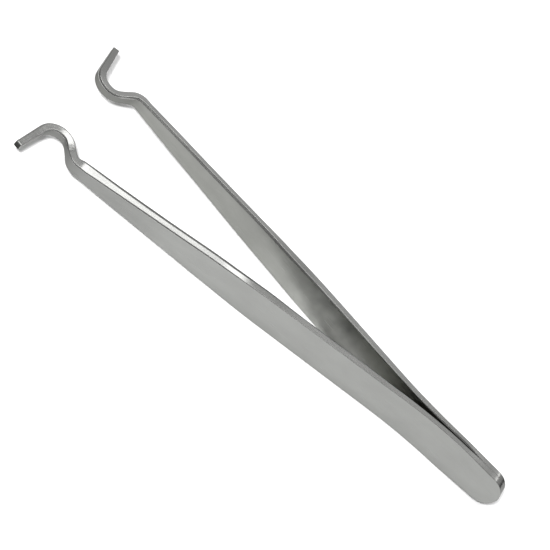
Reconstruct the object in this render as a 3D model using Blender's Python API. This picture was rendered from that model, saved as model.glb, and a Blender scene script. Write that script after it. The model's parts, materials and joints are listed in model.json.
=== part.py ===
"""Precision tweezers whose tips end in hooks that turn outward.

Two stamped stainless steel arms are spot-welded together at their tails. Each arm is one piece of
strip: a straight tail, a gentle bend that splays it outward, a stiff blade, and an S-shaped hook that
first turns inward and then outward. The thin stretch along the bend is a leaf spring. Here it is one
hinge at its thinnest point, so each arm is a fixed tail and a moving blade with its hook.

The drawing frame has its origin at the tail's rear end: +X runs to the tips, the arms open along Y, and
Z runs across the strip's width. The finished tweezers lie on their long lower edges, with the origin at
the middle of the bottom of their bounding box. Sizes are in millimetres until a mesh is made.
"""

import math

import bmesh
import bpy
from mathutils import Matrix, Vector

MM = 0.001

# Plan path of an arm's middle surface, from the rear end to the tip: lengths, and turns in degrees
TAIL_LENGTH = 16.7
SPRING_LENGTH = 20.7
SPLAY_TURN = 8.07
BLADE_LENGTH = 98.3
NECK_BEND_LENGTH = 3.15
NECK_TURN = 55.2
NECK_LENGTH = 3.5
HOOK_BEND_LENGTH = 9.9
HOOK_TURN = 127.9
TIP_LENGTH = 9.4
SHOULDER = 76.9  # path length at which the blade is thickest and starts to narrow

# Strip thickness
SPRING_THICKNESS = 1.7
SHOULDER_THICKNESS = 2.4
BLADE_END_THICKNESS = 2.4
HOOK_THICKNESS = 2.25
TIP_THICKNESS = 1.8

# Half widths of the strip, and the radius of its rounded rear end
REAR_RADIUS = 5.25
HEEL_HALF_WIDTH = 5.86
SHOULDER_HALF_WIDTH = 5.02
BLADE_END_HALF_WIDTH = 2.0
HOOK_HALF_WIDTH = 1.45
TIP_HALF_WIDTH = 1.25

# Spot welds between the tails: places along the tail, and the size of a nugget
WELD_PLACES = {"rear_spot_weld": 6.0, "front_spot_weld": 12.0}
NUGGET_DIAMETER = 3.6
NUGGET_THICKNESS = 1.2

GAP = 0.3  # clearance between neighbouring solids
ARC_STEP = 9.0  # degrees between points on the hook's bends and the rear end's rounding
SPRING_STEP = 1.5  # degrees between points on the spring's gentle bend
DISC_SIDES = 32  # sides of a weld nugget and of its pocket
BLANK_DEPTH = 60.0  # depth of the width cutter, more than the tips' spread

SPRING_END = TAIL_LENGTH + SPRING_LENGTH
BLADE_END = SPRING_END + BLADE_LENGTH
HOOK_START = BLADE_END + NECK_BEND_LENGTH + NECK_LENGTH
TIP_START = HOOK_START + HOOK_BEND_LENGTH
ARM_LENGTH = TIP_START + TIP_LENGTH

# Each stretch of the path: its length, and the angle it turns outward, in degrees
STRETCHES = [
    (TAIL_LENGTH, 0.0),
    (SPRING_LENGTH, SPLAY_TURN),
    (BLADE_LENGTH, 0.0),
    (NECK_BEND_LENGTH, -NECK_TURN),
    (NECK_LENGTH, 0.0),
    (HOOK_BEND_LENGTH, HOOK_TURN),
    (TIP_LENGTH, 0.0),
]

# Strip thickness against path length, straight between the stations
THICKNESSES = [
    (0.0, SPRING_THICKNESS),
    (SPRING_END, SPRING_THICKNESS),
    (SHOULDER, SHOULDER_THICKNESS),
    (BLADE_END, BLADE_END_THICKNESS),
    (HOOK_START, HOOK_THICKNESS),
    (ARM_LENGTH, TIP_THICKNESS),
]


def thickness_at(length):
    """Strip thickness at a path length."""
    for (start, before), (end, after) in zip(THICKNESSES, THICKNESSES[1:]):
        if length <= end:
            return before + (after - before) * (length - start) / (end - start)
    return TIP_THICKNESS


def path_at(length):
    """Point and outward heading, in radians, of the arm's middle surface at a path length."""
    x, y, heading = 0.0, (GAP + SPRING_THICKNESS) / 2, 0.0
    for stretch, turn in STRETCHES:
        step = min(length, stretch)
        if turn == 0.0:
            x += step * math.cos(heading)
            y += step * math.sin(heading)
        else:
            radius = stretch / math.radians(turn)
            after = heading + step / radius
            x += radius * (math.sin(after) - math.sin(heading))
            y -= radius * (math.cos(after) - math.cos(heading))
            heading = after
        length -= step
        if length <= 0.0:
            break
    return x, y, heading


def stations(start, end):
    """Path lengths that an outline needs between start and end: corners, and points along bends."""
    lengths = {start, end}
    passed = 0.0
    for stretch, turn in STRETCHES:
        step = SPRING_STEP if abs(turn) == SPLAY_TURN else ARC_STEP
        pieces = max(1, math.ceil(abs(turn) / step))
        lengths.update(passed + stretch * i / pieces for i in range(pieces + 1))
        passed += stretch
    lengths.update(length for length, _ in THICKNESSES)
    return sorted(length for length in lengths if start <= length <= end)


def edge_point(length, side, across):
    """Point of an arm's outline: across is +1 on its outer face and -1 on its inner face."""
    x, y, heading = path_at(length)
    half = across * thickness_at(length) / 2
    return x - half * math.sin(heading), side * (y + half * math.cos(heading))


def plan_outline(start, end, side):
    """Closed outline, seen along Z, of the arm on one side between two path lengths."""
    lengths = stations(start, end)
    outer = [edge_point(length, side, 1) for length in lengths]
    inner = [edge_point(length, side, -1) for length in reversed(lengths)]
    return outer + inner


def width_outline():
    """Closed outline of the flat strip, seen along Y, symmetric about its long axis."""
    past_tip = path_at(ARM_LENGTH)[0] + TIP_THICKNESS
    upper = [
        (path_at(TAIL_LENGTH)[0], HEEL_HALF_WIDTH),
        (path_at(SHOULDER)[0], SHOULDER_HALF_WIDTH),
        (path_at(BLADE_END)[0], BLADE_END_HALF_WIDTH),
        (path_at(HOOK_START)[0], HOOK_HALF_WIDTH),
        (past_tip, TIP_HALF_WIDTH),
    ]
    lower = [(x, -z) for x, z in reversed(upper)]
    count = round(180 / ARC_STEP)
    rear = []
    for i in range(count + 1):
        angle = math.radians(-90 - 180 * i / count)
        rear.append((REAR_RADIUS + REAR_RADIUS * math.cos(angle), REAR_RADIUS * math.sin(angle)))
    return upper + lower + rear


def lying_matrix():
    """Drawing frame to world: lower rear edges flat on Z = 0, origin at the box's bottom centre."""
    heel_x = path_at(TAIL_LENGTH)[0]
    shoulder_x = path_at(SHOULDER)[0]
    pitch = math.atan((HEEL_HALF_WIDTH - SHOULDER_HALF_WIDTH) / (shoulder_x - heel_x))
    turn = Matrix.Rotation(pitch, 4, "Y")
    heel = turn @ Vector((heel_x, 0, -HEEL_HALF_WIDTH))
    rear = REAR_RADIUS * (math.cos(pitch) - 1)
    front_x = max(edge_point(length, 1, -1)[0] for length in stations(TIP_START, ARM_LENGTH))
    front = (turn @ Vector((front_x, 0, TIP_HALF_WIDTH))).x
    return Matrix.Translation(MM * Vector((-(rear + front) / 2, 0, -heel.z))) @ turn


def new_collection(name):
    """A collection linked to the scene."""
    collection = bpy.data.collections.new(name)
    bpy.context.scene.collection.children.link(collection)
    return collection


def new_empty(name, collection, parent=None, location=(0, 0, 0)):
    """An empty, placed in its parent's space."""
    empty = bpy.data.objects.new(name, None)
    empty.empty_display_size = 5 * MM
    empty.parent = parent
    empty.location = Vector(location) * MM
    collection.objects.link(empty)
    return empty


def steel(name, colour, roughness):
    """A stainless steel material."""
    material = bpy.data.materials.new(name)
    material.use_nodes = True
    shader = material.node_tree.nodes["Principled BSDF"]
    shader.inputs["Base Color"].default_value = (*colour, 1)
    shader.inputs["Metallic"].default_value = 1.0
    shader.inputs["Roughness"].default_value = roughness
    return material


def prism(name, outline, depth, collection, turn=Matrix()):
    """A mesh object: a flat outline in XY, extruded to a depth centred on its plane, then turned."""
    curve = bpy.data.curves.new(name, "CURVE")
    curve.dimensions = "2D"
    curve.fill_mode = "BOTH"
    curve.extrude = depth / 2 * MM
    spline = curve.splines.new("POLY")
    spline.points.add(len(outline) - 1)
    for point, (x, y) in zip(spline.points, outline):
        point.co = (x * MM, y * MM, 0, 1)
    spline.use_cyclic_u = True
    sketch = bpy.data.objects.new(name + "_sketch", curve)
    collection.objects.link(sketch)
    solid = bpy.data.meshes.new_from_object(sketch.evaluated_get(bpy.context.evaluated_depsgraph_get()))
    solid.name = name
    welded = bmesh.new()
    welded.from_mesh(solid)
    bmesh.ops.remove_doubles(welded, verts=welded.verts, dist=0.01 * MM)
    bmesh.ops.recalc_face_normals(welded, faces=welded.faces)
    bmesh.ops.transform(welded, matrix=turn, verts=welded.verts)
    welded.to_mesh(solid)
    welded.free()
    bpy.data.objects.remove(sketch)
    bpy.data.curves.remove(curve)
    obj = bpy.data.objects.new(name, solid)
    collection.objects.link(obj)
    return obj


def hide_as_cutter(obj):
    """Show a cutter only as a wire in the viewport."""
    obj.hide_render = True
    obj.display_type = "WIRE"


def cut(obj, cutter, operation):
    """Cut an object with another by an exact Boolean."""
    boolean = obj.modifiers.new(cutter.name, "BOOLEAN")
    boolean.operation = operation
    boolean.solver = "EXACT"
    boolean.object = cutter


def round_disc(name, diameter, thickness, x, collection):
    """A short cylinder across the middle plane between the tails, at a place along them."""
    disc = bmesh.new()
    bmesh.ops.create_cone(
        disc,
        cap_ends=True,
        segments=DISC_SIDES,
        radius1=diameter / 2 * MM,
        radius2=diameter / 2 * MM,
        depth=thickness * MM,
        matrix=Matrix.Rotation(math.radians(90), 4, "X"),
    )
    mesh = bpy.data.meshes.new(name)
    disc.to_mesh(mesh)
    disc.free()
    mesh.shade_smooth()
    mesh.set_sharp_from_angle(angle=math.radians(40))
    obj = bpy.data.objects.new(name, mesh)
    obj.location = (x * MM, 0, 0)
    collection.objects.link(obj)
    return obj


def add_section(name, start, end, side, owner, width_cutter, collection, material):
    """A stretch of an arm: its plan outline extruded, then trimmed to the strip's width."""
    section = prism(name, plan_outline(start, end, side), 4 * HEEL_HALF_WIDTH, collection)
    cut(section, width_cutter, "INTERSECT")
    section.data.materials.append(material)
    section.parent = owner
    return section


def add_arm(side_name, side, frame, cutters, parts, materials):
    """One arm: a tail on the frame, and a blade and hook on the axis at the spring's thinnest point."""
    width_cutter, *pockets = cutters
    blade_steel, hook_steel = materials
    tail = add_section(
        side_name + "_tail", 0, SPRING_END - GAP / 2, side, frame, width_cutter, parts, blade_steel
    )
    for pocket in pockets:
        cut(tail, pocket, "DIFFERENCE")
    x, y, _ = path_at(SPRING_END)
    axis_place = Vector((x, side * y, 0))
    axis = new_empty(side_name + "_flex_axis", parts, frame, axis_place)
    blade = add_section(
        side_name + "_blade", SPRING_END + GAP / 2, BLADE_END - GAP / 2, side, axis, width_cutter, parts,
        blade_steel,
    )
    hook = add_section(
        side_name + "_hook", BLADE_END + GAP / 2, ARM_LENGTH, side, axis, width_cutter, parts, hook_steel
    )
    for section in (blade, hook):
        section.location = -axis_place * MM


def build():
    """Make the whole pair of tweezers."""
    for obj in list(bpy.data.objects):
        bpy.data.objects.remove(obj)
    parts = new_collection("tweezers")
    cutting = new_collection("cutters")

    blade_steel = steel("satin_stainless", (0.55, 0.55, 0.55), 0.38)
    hook_steel = steel("polished_stainless", (0.62, 0.62, 0.62), 0.25)
    weld_steel = steel("weld_steel", (0.35, 0.34, 0.33), 0.55)

    frame = new_empty("tweezers_frame", parts)
    frame.matrix_world = lying_matrix()

    upright = Matrix.Rotation(math.radians(90), 4, "X")
    width_cutter = prism("strip_width", width_outline(), BLANK_DEPTH, cutting, upright)
    cutters = [width_cutter]
    for name, x in WELD_PLACES.items():
        pocket = round_disc(
            name + "_pocket", NUGGET_DIAMETER + 2 * GAP, NUGGET_THICKNESS + 2 * GAP, x, cutting
        )
        cutters.append(pocket)
        nugget = round_disc(name, NUGGET_DIAMETER, NUGGET_THICKNESS, x, parts)
        nugget.data.materials.append(weld_steel)
        nugget.parent = frame
    for cutter in cutters:
        hide_as_cutter(cutter)
        cutter.parent = frame

    for side_name, side in (("left", 1), ("right", -1)):
        add_arm(side_name, side, frame, cutters, parts, (blade_steel, hook_steel))


build()
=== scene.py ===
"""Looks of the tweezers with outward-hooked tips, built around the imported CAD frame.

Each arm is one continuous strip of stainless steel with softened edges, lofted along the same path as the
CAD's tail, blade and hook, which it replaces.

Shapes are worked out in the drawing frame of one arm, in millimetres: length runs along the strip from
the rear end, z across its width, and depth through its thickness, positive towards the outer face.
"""

import json
import math

import bmesh
import bpy
from mathutils import Matrix, Vector


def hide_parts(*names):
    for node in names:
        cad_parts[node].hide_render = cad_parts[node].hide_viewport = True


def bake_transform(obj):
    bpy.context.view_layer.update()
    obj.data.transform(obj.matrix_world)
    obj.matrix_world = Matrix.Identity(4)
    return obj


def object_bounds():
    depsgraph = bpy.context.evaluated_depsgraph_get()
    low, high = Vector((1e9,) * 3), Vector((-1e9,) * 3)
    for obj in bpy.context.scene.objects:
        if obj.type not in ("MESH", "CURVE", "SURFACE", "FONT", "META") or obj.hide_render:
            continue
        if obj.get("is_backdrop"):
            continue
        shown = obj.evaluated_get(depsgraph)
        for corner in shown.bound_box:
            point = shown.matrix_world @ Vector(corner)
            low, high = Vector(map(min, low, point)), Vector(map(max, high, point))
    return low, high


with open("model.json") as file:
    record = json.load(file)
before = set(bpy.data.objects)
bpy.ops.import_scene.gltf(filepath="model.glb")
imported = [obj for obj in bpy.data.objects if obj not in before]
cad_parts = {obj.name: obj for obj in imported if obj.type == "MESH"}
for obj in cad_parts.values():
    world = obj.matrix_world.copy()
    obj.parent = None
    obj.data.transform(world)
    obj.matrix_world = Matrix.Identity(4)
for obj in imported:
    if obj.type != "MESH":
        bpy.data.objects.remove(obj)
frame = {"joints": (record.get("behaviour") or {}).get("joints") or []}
cad_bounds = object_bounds()

MM = 0.001

# Path of an arm's middle surface: each stretch's length, and the angle it turns outward in degrees
TAIL_LENGTH = 16.7
SPRING_LENGTH = 20.7
BLADE_LENGTH = 98.3
NECK_BEND_LENGTH = 3.15
NECK_LENGTH = 3.5
HOOK_BEND_LENGTH = 9.9
TIP_LENGTH = 9.4
STRETCHES = [
    (TAIL_LENGTH, 0.0),
    (SPRING_LENGTH, 8.07),
    (BLADE_LENGTH, 0.0),
    (NECK_BEND_LENGTH, -55.2),
    (NECK_LENGTH, 0.0),
    (HOOK_BEND_LENGTH, 127.9),
    (TIP_LENGTH, 0.0),
]
ARM_LENGTH = sum(length for length, _ in STRETCHES)
SPRING_END = TAIL_LENGTH + SPRING_LENGTH
BLADE_END = SPRING_END + BLADE_LENGTH
HOOK_START = BLADE_END + NECK_BEND_LENGTH + NECK_LENGTH
BEND_END = HOOK_START + HOOK_BEND_LENGTH
SHOULDER = 76.9  # where the blade is thickest and starts to narrow
BEND_SOFTENING = 0.7  # half the length over which each bend eases in and out
PATH_STEP = 0.05  # between the traced points of the path

# Inner faces of the tails, measured from the plane between them: here they all but touch, and the CAD
# leaves a gap
TAIL_INNER_FACE = 0.01
CAD_INNER_FACE = 0.15
REAR_RADIUS = 5.1

# Stations of (length, value), straight between them
THICKNESS = [
    (0, 1.7),
    (SPRING_END, 1.75),
    (SHOULDER, 2.38),
    (BLADE_END, 2.4),
    (HOOK_START, 2.35),
    (HOOK_START + 4, 2.45),
    (BEND_END, 2.1),
    (ARM_LENGTH, 1.8),
]
HALF_WIDTH = [
    (REAR_RADIUS, REAR_RADIUS),
    (11, 5.36),
    (TAIL_LENGTH, 5.75),
    (40, 5.26),
    (60, 5.15),
    (SHOULDER, 5.02),
    (90, 4.52),
    (104, 3.72),
    (BLADE_END, 1.87),
    (HOOK_START - 2.5, 1.45),
    (BEND_END + 2, 1.35),
    (ARM_LENGTH, 1.0),
]
WIDTH_SOFTENING = 3.0  # half the length over which the width's corners are rounded

# What the tails are thicker by, towards each other, fading out where the arms start to part
MEETING_THICKNESS = [(9, CAD_INNER_FACE - TAIL_INNER_FACE), (15, 0.0)]

# The two arms aren't exact mirror images: what each has more than the stations, +1 left and -1 right
WIDTH_EXTRA = {
    1: [
        (74, 0.0),
        (84, 0.16),
        (90, 0.29),
        (97, 0.45),
        (104, 0.32),
        (BLADE_END - 3, 0.22),
        (HOOK_START - 3, 0.0),
        (BEND_END - 4, 0.0),
        (BEND_END, -0.27),
        (ARM_LENGTH, -0.1),
    ],
    -1: [
        (62, 0.0),
        (72, -0.1),
        (80, -0.33),
        (92, -0.1),
        (112, -0.08),
        (122, 0.06),
        (BLADE_END, 0.06),
        (HOOK_START, 0.0),
        (BEND_END - 4, 0.0),
        (BEND_END, -0.1),
    ],
}
OUTER_FACE_EXTRA = {1: [(0, 0.0)], -1: [(18, -0.2), (28, 0.0)]}
INNER_FACE_EXTRA = {
    1: [(70, 0.0), (80, 0.25), (110, 0.25), (125, 0.4), (BLADE_END, 0.75), (BLADE_END + 3, 0.0)],
    -1: [(0, 0.0)],
}
CHAMFER_EXTRA = {
    1: [(80, 0.0), (90, 0.25), (118, 0.3), (BLADE_END - 4, 0.1), (BLADE_END, 0.0)],
    -1: [(0, 0.0)],
}

# The long edges: a rounded corner at each face, a wide chamfer along the inner face, and between them a
# flat that slopes down towards the outer face. Slopes are falls in width for each unit of thickness
OUTER_EDGE_RADIUS = [
    (80, 0.08),
    (92, 0.32),
    (101, 0.37),
    (117, 0.37),
    (127, 0.32),
    (HOOK_START - 3, 0.32),
    (HOOK_START + 2, 0.5),
    (BEND_END, 0.15),
]
INNER_EDGE_RADIUS = [
    (11, 0.04),
    (16, 0.12),
    (BLADE_END - 4, 0.12),
    (HOOK_START, 0.5),
    (BEND_END, 0.5),
    (ARM_LENGTH, 0.3),
]
INNER_CHAMFER = [
    (11, 0.0),
    (16, 0.3),
    (26, 0.25),
    (35, 0.08),
    (50, 0.08),
    (60, 0.25),
    (75, 0.45),
    (90, 0.7),
    (BLADE_END - 4, 0.7),
    (HOOK_START, 0.0),
]
CHAMFER_SLOPE = 0.33
OUTER_SLOPE = [
    (84, 0.0),
    (93, 0.18),
    (BLADE_END - 2, 0.18),
    (BLADE_END, 0.03),
    (HOOK_START - 4, 0.05),
    (HOOK_START - 2.2, 0.2),
    (HOOK_START + 1, 0.17),
    (HOOK_START + 3, 0.1),
    (HOOK_START + 6, 0.0),
]

# The mesh: loops of points round the strip, from the rear end to the tip
REAR_STEPS = 24
BODY_STEP = 1.5
FINE_START = BLADE_END - 2  # from here on the loops are closer together, for the hook's bends
FINE_STEP = 0.35
TIP_EDGE_RADIUS = 0.12
TIP_STEPS = 3
CORNER_STEPS = 5
CORNER_SHARED = 1  # steps of a corner that have the face's steel and not the edge's
FACE_COLUMNS = (0.95, 0.5, 0.0, -0.5, -0.95)  # points across a face, as shares of its half width
MERGE_DISTANCE = 0.001

# Extra points inside each flat of a long edge keep it looking flat. They count in margins, from the flat's
# start if positive and from its end if negative
FLAT_MARGIN = 0.04
LARGEST_MARGIN = 0.2  # as a share of the flat
SLOPE_MARGINS = (1, -2, -1)
CHAMFER_MARGINS = (1, 2, -1)

# Camera: orbit about a point on the object, then roll about the viewing axis
CAMERA_TARGET = Vector((0.00545, -0.00351, 0.00513))
CAMERA_AZIMUTH = 83.06
CAMERA_ELEVATION = 43.66
CAMERA_DISTANCE = 0.5302
CAMERA_ROLL = 48.30
CAMERA_LENS = 136.9


# ---------------------------------------------------------------- path and strip


def between(stations, at):
    """Value at a place on a list of (place, value), straight between the stations."""
    if at <= stations[0][0]:
        return stations[0][1]
    for (start, before), (end, after) in zip(stations, stations[1:]):
        if at <= end:
            return before + (after - before) * (at - start) / (end - start)
    return stations[-1][1]


def softened(function, at, reach, samples=9):
    """Mean of a function over a window centred on a place, which rounds its corners."""
    offsets = [reach * (2 * i / (samples - 1) - 1) for i in range(samples)]
    return sum(function(at + offset) for offset in offsets) / samples


def raw_heading(length):
    """Outward heading in radians, with bends that start and stop abruptly."""
    heading, passed = 0.0, 0.0
    for stretch, turn in STRETCHES:
        share = min(max((length - passed) / stretch, 0.0), 1.0)
        heading += math.radians(turn) * share
        passed += stretch
    return heading


def trace_path():
    """Points (x, y, heading) along the middle surface, PATH_STEP apart."""
    x, y = 0.0, CAD_INNER_FACE + THICKNESS[0][1] / 2
    points = [(x, y, 0.0)]
    for i in range(math.ceil(ARM_LENGTH / PATH_STEP) + 1):
        heading = softened(raw_heading, (i + 0.5) * PATH_STEP, BEND_SOFTENING)
        x += PATH_STEP * math.cos(heading)
        y += PATH_STEP * math.sin(heading)
        points.append((x, y, softened(raw_heading, (i + 1) * PATH_STEP, BEND_SOFTENING)))
    return points


PATH = trace_path()


def path_at(length):
    """(x, y, heading) of the middle surface, between the traced points."""
    index = max(length / PATH_STEP, 0.0)
    first = min(int(index), len(PATH) - 2)
    share = index - first
    return [a + (b - a) * share for a, b in zip(PATH[first], PATH[first + 1])]


def half_width(side, length):
    """Half the strip's width ahead of its round rear end, with the stations' corners rounded."""
    reach = min(WIDTH_SOFTENING, length - REAR_RADIUS)
    return softened(lambda at: between(HALF_WIDTH, at) + between(WIDTH_EXTRA[side], at), length, reach)


def depths(side, length):
    """Depth of the outer and of the inner face. The tails are thicker inward, so that they meet."""
    half = between(THICKNESS, length) / 2
    meeting = between(MEETING_THICKNESS, length)
    outer = half + between(OUTER_FACE_EXTRA[side], length)
    return outer, -half - meeting - between(INNER_FACE_EXTRA[side], length)


def lying_matrix():
    """Drawing frame, in millimetres, to the row frame, from the right arm's joint in the CAD."""
    joint = next(j for j in frame["joints"] if j["name"] == "right_arm_flex")
    turn = Matrix.Rotation(math.atan2(joint["axis"][0], joint["axis"][2]), 4, "Y")
    hinge_x, hinge_y, _ = path_at(SPRING_END)
    hinge = turn @ Vector((hinge_x * MM, -hinge_y * MM, 0))
    return Matrix.Translation(Vector(joint["pos_m"]) - hinge) @ turn @ Matrix.Scale(MM, 4)


LYING = lying_matrix()


def place(side, length, z, depth):
    """Row-frame point of an arm: side is +1 for the left arm and -1 for the right one."""
    x, y, heading = path_at(length)
    return LYING @ Vector((x - depth * math.sin(heading), side * (y + depth * math.cos(heading)), z))


# ---------------------------------------------------------------- arm mesh


def outline(side):
    """Upper outline of an arm as (length, half width, inward length, inward z), rear end to tip."""
    points = []
    for i in range(REAR_STEPS):
        angle = math.pi / 2 * i / REAR_STEPS
        length = REAR_RADIUS * (1 - math.cos(angle))
        points.append((length, REAR_RADIUS * math.sin(angle), math.cos(angle), -math.sin(angle)))
    body = FINE_START - REAR_RADIUS
    count = round(body / BODY_STEP)
    lengths = [REAR_RADIUS + body * i / count for i in range(count)]
    hook = ARM_LENGTH - TIP_EDGE_RADIUS - FINE_START
    count = round(hook / FINE_STEP)
    lengths += [FINE_START + hook * i / count for i in range(count + 1)]
    points += [(length, half_width(side, length), 0.0, -1.0) for length in lengths]
    return points


def corner(centre, radius, start, end):
    """Arc of (inset, depth) points about a centre; angles from the outer face's normal, in degrees."""
    points = []
    for i in range(CORNER_STEPS + 1):
        angle = math.radians(start + (end - start) * i / CORNER_STEPS)
        points.append((centre[0] - radius * math.sin(angle), centre[1] + radius * math.cos(angle)))
    return points


def flat_points(a, b, margins):
    """Points on a flat of a long edge, between its ends a and b."""
    span = math.hypot(b[0] - a[0], b[1] - a[1])
    share = min(FLAT_MARGIN / max(span, FLAT_MARGIN), LARGEST_MARGIN)
    points = []
    for margin in margins:
        part = share * margin if margin > 0 else 1 + share * margin
        points.append((a[0] + (b[0] - a[0]) * part, a[1] + (b[1] - a[1]) * part))
    return points


def edge_profile(side, length, shrink):
    """A long edge from the outer face to the inner one, as (inset from the full width, depth) points.

    A rounded corner, a flat that slopes towards the outer face, a chamfer, and a rounded corner. shrink
    draws the whole profile in.
    """
    outer, inner = depths(side, length)
    outer, inner = outer - shrink, inner + shrink
    outer_radius = between(OUTER_EDGE_RADIUS, length) - shrink
    inner_radius = between(INNER_EDGE_RADIUS, length) - shrink
    chamfer = between(INNER_CHAMFER, length) + between(CHAMFER_EXTRA[side], length)
    slope = math.atan(between(OUTER_SLOPE, length))
    fall = math.atan(CHAMFER_SLOPE)
    ridge = inner + inner_radius + chamfer

    # The corner at the outer face touches the face and the sloping flat
    outer_centre = outer - outer_radius
    reach = outer_centre + outer_radius * math.sin(slope) - ridge
    outer_inset = shrink + math.tan(slope) * reach + outer_radius * math.cos(slope)
    points = corner((outer_inset, outer_centre), outer_radius, 0, 90 - math.degrees(slope))

    # The corner at the inner face touches the chamfer and the face
    inner_centre = inner + inner_radius
    drop = ridge - inner_centre + inner_radius * math.sin(fall)
    inner_inset = shrink + math.tan(fall) * drop + inner_radius * math.cos(fall)
    closing = corner((inner_inset, inner_centre), inner_radius, 90 + math.degrees(fall), 180)

    top = (shrink, ridge)
    points += flat_points(points[-1], top, SLOPE_MARGINS)
    points += flat_points(top, closing[0], CHAMFER_MARGINS)
    return points + closing


def ring(side, length, width, inward_length, inward_z, shrink=0.0):
    """One loop round the strip: (length, z, depth, kind) from the upper corner of the outer face.

    width is half the strip's width, and inward_length and inward_z are the direction from there into the
    strip. kind is "outer" or "inner" for the faces and "edge" for the long edges. shrink draws the loop in.
    """
    profile = edge_profile(side, length, shrink)
    points = []
    for sign, start, end in ((1, "outer", "inner"), (-1, "inner", "outer")):
        kinds = [start] * CORNER_SHARED + ["edge"] * (len(profile) - 2 * CORNER_SHARED - 1)
        kinds += [end] * (CORNER_SHARED + 1)
        for (inset, depth), kind in zip(profile[::sign], kinds):
            points.append((length + inset * inward_length, sign * (width + inset * inward_z), depth, kind))
        face_length, face_z, face_depth, _ = points[-1]
        points += [(face_length, face_z * share, face_depth, end) for share in FACE_COLUMNS]
    return points


def arm_rings(side):
    """All the loops of an arm. The last few round the edge of its cut end."""
    stations = outline(side)
    rings = [ring(side, *station) for station in stations]
    _, width, inward_length, inward_z = stations[-1]
    for i in range(1, TIP_STEPS + 1):
        angle = math.pi / 2 * i / TIP_STEPS
        length = ARM_LENGTH - TIP_EDGE_RADIUS * (1 - math.sin(angle))
        shrink = TIP_EDGE_RADIUS * (1 - math.cos(angle))
        rings.append(ring(side, length, width, inward_length, inward_z, shrink))
    return rings


def wall_faces(rings, verts):
    """The long faces and edges, from loop to loop, as (corners, UVs, kind)."""
    size = len(rings[0])
    girth = [0.0]  # distance round the strip, measured half way along the arm
    middle = rings[len(rings) // 2]
    for a, b in zip(middle, middle[1:] + middle[:1]):
        girth.append(girth[-1] + math.hypot(b[1] - a[1], b[2] - a[2]))
    for i in range(len(rings) - 1):
        here, there = rings[i][0][0], rings[i + 1][0][0]
        for k in range(size):
            n = (k + 1) % size
            corners = [verts[i][k], verts[i][n], verts[i + 1][n], verts[i + 1][k]]
            uvs = [(here, girth[k]), (here, girth[k + 1]), (there, girth[k + 1]), (there, girth[k])]
            yield corners, uvs, rings[i][k][3]


def end_faces(last_ring, last_verts):
    """The cut end: strips across the thickness, between the outer half of its loop and the inner half."""
    size, columns = len(last_verts), len(FACE_COLUMNS)
    quarter = (size - 2 * columns) // 4
    steps = range(2 * quarter + columns)
    outer_half = [last_verts[quarter - 1 - k] for k in steps]
    inner_half = [last_verts[quarter + k] for k in steps]
    for k in steps[:-1]:
        corners = [outer_half[k + 1], inner_half[k + 1], inner_half[k], outer_half[k]]
        uvs = [(last_ring[0][0], corner.co.z / MM) for corner in corners]
        yield corners, uvs, "end"


MATERIAL_INDEX = {"outer": 0, "inner": 1, "edge": 2, "end": 3}


def build_arm(name, side, materials):
    """The mesh object of one arm."""
    rings = arm_rings(side)
    mesh = bmesh.new()
    grain = mesh.loops.layers.uv.new("along_strip")
    verts = [[mesh.verts.new(place(side, *point[:3])) for point in points] for points in rings]
    faces = [*wall_faces(rings, verts), *end_faces(rings[-1], verts[-1])]
    for corners, uvs, kind in faces:
        if side < 0:
            corners, uvs = corners[::-1], uvs[::-1]
        face = mesh.faces.new(corners)
        face.material_index = MATERIAL_INDEX[kind]
        face.smooth = True
        for loop, uv in zip(face.loops, uvs):
            loop[grain].uv = uv

    bmesh.ops.remove_doubles(mesh, verts=mesh.verts, dist=MERGE_DISTANCE * MM)
    bmesh.ops.recalc_face_normals(mesh, faces=mesh.faces)
    data = bpy.data.meshes.new(name)
    mesh.to_mesh(data)
    mesh.free()
    for material in materials:
        data.materials.append(material)
    arm = bpy.data.objects.new(name, data)
    bpy.context.scene.collection.objects.link(arm)
    return arm


# ---------------------------------------------------------------- materials


def new_material(name, colour, metallic, roughness):
    """A Principled material: (material, node tree, shader)."""
    material = bpy.data.materials.new(name)
    material.use_nodes = True
    tree = material.node_tree
    shader = tree.nodes["Principled BSDF"]
    shader.inputs["Base Color"].default_value = (*colour, 1)
    shader.inputs["Metallic"].default_value = metallic
    shader.inputs["Roughness"].default_value = roughness
    return material, tree, shader


# Noise on the strip: cells per millimetre along and round it
GRAIN_CELLS = (0.12, 9.0)
CLOUD_CELLS = (0.1, 0.4)
MOTTLE_CELLS = (0.2, 0.3)
DIMPLE_CELLS = (0.7, 0.9)

GRAIN_DEPTH = 0.02  # in millimetres, as are the dimples' depths below
GRAZING_TINT = (0.45, 0.45, 0.45)  # dims what the steel reflects at grazing angles


def strip_coordinates(tree):
    """The strip's own coordinates in millimetres: x along it, y round it."""
    uv = tree.nodes.new("ShaderNodeUVMap")
    uv.uv_map = "along_strip"
    return uv.outputs["UV"]


def strip_noise(tree, cells, detail=3.0):
    """Noise over the strip's own coordinates; cells is how many per millimetre along and round it."""
    mapping = tree.nodes.new("ShaderNodeMapping")
    mapping.inputs["Scale"].default_value = (*cells, 1)
    noise = tree.nodes.new("ShaderNodeTexNoise")
    noise.inputs["Scale"].default_value = 1.0
    noise.inputs["Detail"].default_value = detail
    tree.links.new(strip_coordinates(tree), mapping.inputs["Vector"])
    tree.links.new(mapping.outputs["Vector"], noise.inputs["Vector"])
    return noise.outputs["Fac"]


def remap(tree, value, low, high, start=0.25, end=0.75):
    """Map a value from start to end, a noise's usual span, onto low to high."""
    node = tree.nodes.new("ShaderNodeMapRange")
    node.inputs["From Min"].default_value = start
    node.inputs["From Max"].default_value = end
    node.inputs["To Min"].default_value = low
    node.inputs["To Max"].default_value = high
    tree.links.new(value, node.inputs["Value"])
    return node.outputs["Result"]


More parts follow.
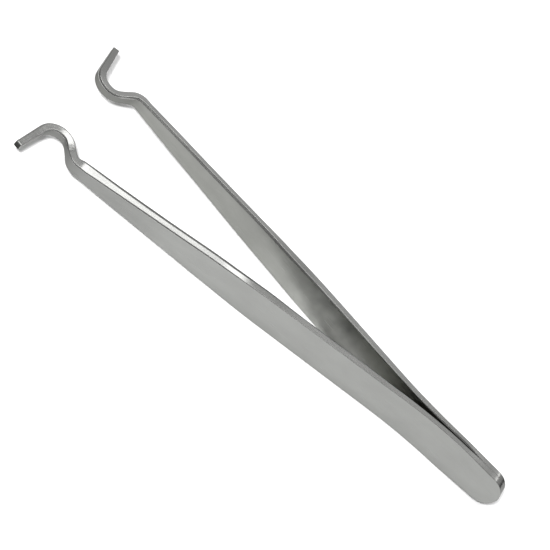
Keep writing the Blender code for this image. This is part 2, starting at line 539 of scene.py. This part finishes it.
def colour_between(tree, value, low, high, start=0.3, end=0.7):
    """A colour from low, where a value is at start or less, to high, where it is at end or more."""
    ramp = tree.nodes.new("ShaderNodeValToRGB")
    ramp.color_ramp.elements[0].position = start
    ramp.color_ramp.elements[0].color = (*low, 1)
    ramp.color_ramp.elements[1].position = end
    ramp.color_ramp.elements[1].color = (*high, 1)
    tree.links.new(value, ramp.inputs["Fac"])
    return ramp.outputs["Color"]


def along_strip(tree, stops):
    """A value that varies along the strip, straight between stops of (length, value)."""
    parts = tree.nodes.new("ShaderNodeSeparateXYZ")
    tree.links.new(strip_coordinates(tree), parts.inputs["Vector"])
    share = remap(tree, parts.outputs["X"], 0.0, 1.0, 0.0, ARM_LENGTH)
    ramp = tree.nodes.new("ShaderNodeValToRGB")
    elements = ramp.color_ramp.elements
    while len(elements) < len(stops):
        elements.new(1.0)
    for element, (length, value) in zip(elements, stops):
        element.position = length / ARM_LENGTH
        element.color = (value, value, value, 1)
    tree.links.new(share, ramp.inputs["Fac"])
    return ramp.outputs["Color"]


def product(tree, first, second):
    """Product of two colours or values."""
    node = tree.nodes.new("ShaderNodeVectorMath")
    node.operation = "MULTIPLY"
    tree.links.new(first, node.inputs[0])
    tree.links.new(second, node.inputs[1])
    return node.outputs["Vector"]


def one_plus(tree, value):
    """One more than a colour or value."""
    node = tree.nodes.new("ShaderNodeVectorMath")
    node.operation = "ADD"
    node.inputs[1].default_value = (1, 1, 1)
    tree.links.new(value, node.inputs[0])
    return node.outputs["Vector"]


def bump(tree, shader, height, strength, distance):
    """Relief of a height in the shader's normal, on top of what is linked there already."""
    node = tree.nodes.new("ShaderNodeBump")
    node.inputs["Strength"].default_value = strength
    node.inputs["Distance"].default_value = distance
    tree.links.new(height, node.inputs["Height"])
    if shader.inputs["Normal"].links:
        tree.links.new(shader.inputs["Normal"].links[0].from_socket, node.inputs["Normal"])
    tree.links.new(node.outputs["Normal"], shader.inputs["Normal"])


def steel(name, dark, bright, roughness, grain_strength, painted_shading, stains=None, dimple_depth=0.0):
    """Brushed stainless steel with its grain along the strip.

    Its colour follows stops of (length, factor) that paint light and shade along the strip, and may be
    mottled at random, as strongly as further stops say.
    dimple_depth is that of the shallow dimples on the hook.
    """
    mean = tuple((a + b) / 2 for a, b in zip(dark, bright))
    material, tree, shader = new_material(name, mean, 1.0, sum(roughness) / 2)
    shader.inputs["Specular Tint"].default_value = (*GRAZING_TINT, 1)
    grain = strip_noise(tree, GRAIN_CELLS)
    cloud = strip_noise(tree, CLOUD_CELLS, 4.0)
    # Painted light and shade along the strip, on the steel's random tone
    colour = product(tree, colour_between(tree, cloud, dark, bright), along_strip(tree, painted_shading))
    if stains:
        amount = along_strip(tree, stains)
        mottle = remap(tree, strip_noise(tree, MOTTLE_CELLS, 2.0), -1.0, 1.0)
        colour = product(tree, colour, one_plus(tree, product(tree, mottle, amount)))
    tree.links.new(colour, shader.inputs["Base Color"])
    tree.links.new(remap(tree, grain, *roughness), shader.inputs["Roughness"])
    bump(tree, shader, grain, grain_strength, GRAIN_DEPTH * MM)
    if dimple_depth:
        dimples = strip_noise(tree, DIMPLE_CELLS, 2.0)
        bump(tree, shader, product(tree, dimples, along_strip(tree, ON_HOOK)), 1.0, dimple_depth * MM)
    return material


def weld_steel():
    """The heat-tinted steel of a spot weld, mottled from blue-grey to straw."""
    blue_grey, straw = (0.20, 0.21, 0.25), (0.40, 0.34, 0.26)
    cells_per_metre = 900.0
    relief = 0.05
    material, tree, shader = new_material("weld_steel", (0.3, 0.28, 0.26), 1.0, 0.5)
    coordinates = tree.nodes.new("ShaderNodeTexCoord")
    noise = tree.nodes.new("ShaderNodeTexNoise")
    noise.inputs["Scale"].default_value = cells_per_metre
    noise.inputs["Detail"].default_value = 3.0
    tree.links.new(coordinates.outputs["Object"], noise.inputs["Vector"])
    mottling = noise.outputs["Fac"]
    tree.links.new(colour_between(tree, mottling, blue_grey, straw), shader.inputs["Base Color"])
    tree.links.new(remap(tree, mottling, 0.4, 0.6), shader.inputs["Roughness"])
    bump(tree, shader, mottling, 0.3, relief * MM)
    return material


# Stops of (length, factor) for the steel's colour, painted light and shade along the strip. Painted shade
# makes the hooks darker than the blades; painted light lightens the tips' outer faces and the inner faces
# by the tails, where shade falls between the arms
OUTER_PAINTED_SHADING = [
    (0, 1.0),
    (108, 1.0),
    (117, 0.86),
    (133, 0.84),
    (138, 0.66),
    (143, 0.6),
    (149, 0.66),
    (155, 1.3),
]
# Painted light by the tails, where shade falls between the arms, and painted shade on the hooks
INNER_PAINTED_SHADING = [
    (0, 1.8),
    (45, 1.75),
    (55, 1.35),
    (64, 1.12),
    (79, 1.03),
    (90, 0.86),
    (133, 0.83),
    (138, 0.64),
    (151, 0.56),
]
# How strongly the inner faces' colour is mottled at random, along the strip
INNER_MOTTLING = [(0, 0.08), (48, 0.15), (58, 0.3), (67, 0.26), (75, 0.08), (90, 0.03)]
# Painted light and shade on the long edges: painted shade round the rear end, by the shoulder and on the
# tips, and a painted glint just ahead of the rear end
EDGE_PAINTED_SHADING = [
    (0, 0.6),
    (3.5, 0.62),
    (5, 0.88),
    (6.5, 0.7),
    (12, 0.77),
    (16, 0.85),
    (68, 0.84),
    (76, 0.7),
    (84, 0.74),
    (90, 1.0),
    (147, 1.0),
    (152, 0.75),
    (157, 0.7),
]
EVEN = [(0, 1.0), (ARM_LENGTH, 1.0)]
ON_HOOK = [(0, 0.0), (BLADE_END - 3, 0.0), (BLADE_END + 1, 1.0)]


def make_materials():
    """Materials of an arm, in the order of MATERIAL_INDEX."""
    outer = (0.276, 0.279, 0.27), (0.298, 0.302, 0.292)
    inner = (0.282, 0.286, 0.27), (0.304, 0.308, 0.292)
    edge = (0.455, 0.457, 0.445), (0.515, 0.517, 0.504)
    # The cut ends are painted nearly black, as painted shade
    end = (0.035, 0.035, 0.034), (0.06, 0.06, 0.058)
    brushed, polished, sheared = (0.26, 0.36), (0.14, 0.22), (0.45, 0.6)
    return [
        steel("outer_steel", *outer, brushed, 0.25, OUTER_PAINTED_SHADING, dimple_depth=0.02),
        steel("inner_steel", *inner, brushed, 0.25, INNER_PAINTED_SHADING, INNER_MOTTLING, dimple_depth=0.02),
        steel("edge_steel", *edge, polished, 0.1, EDGE_PAINTED_SHADING, dimple_depth=0.025),
        steel("cut_end_steel", *end, sheared, 0.4, EVEN),
    ]


# ---------------------------------------------------------------- stage


FLOOR_SIZE = 6.0
WORLD_RADIANCE = 0.2


def add_floor():
    """A plain pale floor."""
    bpy.ops.mesh.primitive_plane_add(size=FLOOR_SIZE, location=(0, 0, 0))
    floor = bpy.context.object
    floor.name = "floor"
    material, _, shader = new_material("pale_floor", (0.9, 0.9, 0.9), 0.0, 0.8)
    shader.inputs["Specular IOR Level"].default_value = 0.0
    floor.data.materials.append(material)
    floor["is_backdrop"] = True


def direction(azimuth, elevation):
    """Unit vector from angles in degrees: azimuth from +X towards +Y, elevation from the floor up."""
    azimuth, elevation = math.radians(azimuth), math.radians(elevation)
    flat = math.cos(elevation)
    return Vector((flat * math.cos(azimuth), flat * math.sin(azimuth), math.sin(elevation)))


# Each panel's name, direction, distance and size in metres, radiance, and what it lights
PANELS = [
    ("key", (0.33, 0.87, 1.0), 1.2, (0.17, 0.17), 197.0, "floor"),
    ("fill", (0, 0, 1), 1.5, (0.9, 0.9), 4.7, "floor"),
    ("back_panel", direction(-92, 31), 1.2, (2.2, 0.88), 0.42, "steel"),
    ("back_softbox", direction(-70, 60.5), 1.1, (0.76, 0.3), 2.3, "steel"),
    ("rear_panel", direction(-121, 35), 1.1, (0.17, 0.17), 1.5, "steel"),
    ("top_panel", direction(90, 82), 1.3, (0.9, 0.6), 0.32, "steel"),
    ("side_panel", direction(180, 27), 1.2, (1.2, 0.9), 0.6, "steel"),
]


def add_panel(name, towards, distance, size, radiance, lights):
    """A rectangular light that faces the origin. Its power follows from its radiance and its size.

    It lights the "floor" and isn't reflected, or it is reflected in the "steel" and doesn't light the floor.
    """
    light = bpy.data.lights.new(name, "AREA")
    light.shape = "RECTANGLE"
    light.size, light.size_y = size
    light.energy = radiance * math.pi * size[0] * size[1]
    lamp = bpy.data.objects.new(name, light)
    away = Vector(towards).normalized()
    lamp.location = away * distance
    lamp.rotation_euler = away.to_track_quat("Z", "Y").to_euler()
    lamp.visible_glossy = lights == "steel"
    lamp.visible_diffuse = lights == "floor"
    bpy.context.scene.collection.objects.link(lamp)


def add_lights():
    """Soft studio light: panels that the steel reflects, in a dim room, over a floor lit from above."""
    world = bpy.data.worlds.new("studio")
    world.use_nodes = True
    background = world.node_tree.nodes["Background"]
    background.inputs["Color"].default_value = (1, 1, 1, 1)
    background.inputs["Strength"].default_value = WORLD_RADIANCE
    bpy.context.scene.world = world
    for panel in PANELS:
        add_panel(*panel)


def add_camera():
    """The camera, orbited round its target and rolled."""
    away = direction(CAMERA_AZIMUTH, CAMERA_ELEVATION)
    data = bpy.data.cameras.new("camera")
    data.lens = CAMERA_LENS
    data.sensor_width = 36.0
    data.clip_start = 0.01
    camera = bpy.data.objects.new("camera", data)
    turn = away.to_track_quat("Z", "Y").to_matrix() @ Matrix.Rotation(math.radians(CAMERA_ROLL), 3, "Z")
    camera.matrix_world = Matrix.Translation(CAMERA_TARGET + away * CAMERA_DISTANCE) @ turn.to_4x4()
    bpy.context.scene.collection.objects.link(camera)
    bpy.context.scene.camera = camera


# ---------------------------------------------------------------- assembly


add_camera()
add_floor()
add_lights()
bpy.context.scene.view_settings.view_transform = "Standard"

arm_materials = make_materials()
for side_name, side in (("left", 1), ("right", -1)):
    arm = build_arm(side_name + "_arm", side, arm_materials)
    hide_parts(side_name + "_tail", side_name + "_blade", side_name + "_hook")
    place(side, 18, 0, 0)
    place(side, 60, 0, 0)
    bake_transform(arm)

weld_material = weld_steel()
for weld_name in ("rear_spot_weld", "front_spot_weld"):
    bpy.data.objects[weld_name].material_slots[0].material = weld_material

[[list(corner) for corner in bounds] for bounds in (cad_bounds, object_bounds())]
